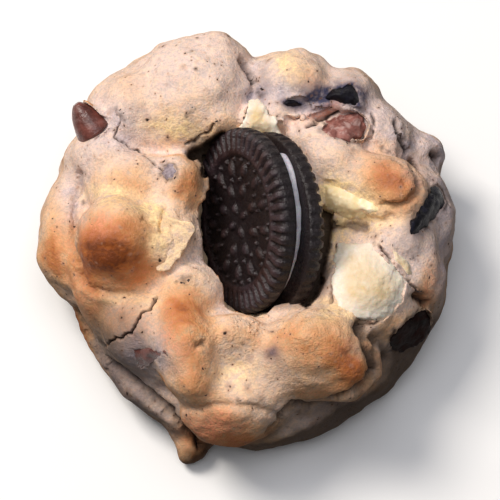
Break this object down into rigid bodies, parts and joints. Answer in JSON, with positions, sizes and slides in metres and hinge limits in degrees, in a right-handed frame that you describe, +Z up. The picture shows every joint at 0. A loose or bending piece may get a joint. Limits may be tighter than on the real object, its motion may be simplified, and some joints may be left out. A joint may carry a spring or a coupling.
{
  "type": "cloud cookie",
  "caption": "Tall lumpy baked cookie with a small cream-filled cocoa sandwich biscuit sunk into its middle on edge, and half-sunk milk, dark and white chocolate pieces around it.",
  "frame": {"origin": "on the flat base that the cookie rests on, below the middle of its round", "axes": "+Z up; -Y is the side nearest the picture's camera; +X is to the right in the picture"},
  "size_m": [0.0634, 0.0637, 0.0319],
  "materials": {
    "baked_dough": "matt baked crust, pale pinkish cream with toasted orange-brown tops",
    "cocoa_wafer": "matt, near-black cocoa biscuit",
    "vanilla_cream": "soft white filling, slightly bluish in the shade",
    "milk_chocolate": "satin milk chocolate, reddish brown",
    "dark_chocolate": "satin dark brown chocolate",
    "white_chocolate": "ivory, half melted, yellowish in the middle",
    "cocoa_crumb": "blue-black broken cocoa biscuit"
  },
  "bodies": {
    "root": {"dough": "baked_dough", "wafer_shown": "cocoa_wafer", "wafer_sunk": "cocoa_wafer", "cream": "vanilla_cream", "milk_chip_left": "milk_chocolate", "milk_chunk_right": "milk_chocolate", "milk_patch_left": "milk_chocolate", "dark_chunk_low": "dark_chocolate", "white_chunk_right": "white_chocolate", "white_chunk_back": "white_chocolate", "white_melt_right": "white_chocolate", "cocoa_bit_back": "cocoa_crumb", "cocoa_bit_right": "cocoa_crumb", "cocoa_bit_mouth": "cocoa_crumb"}
  },
  "joints": []
}
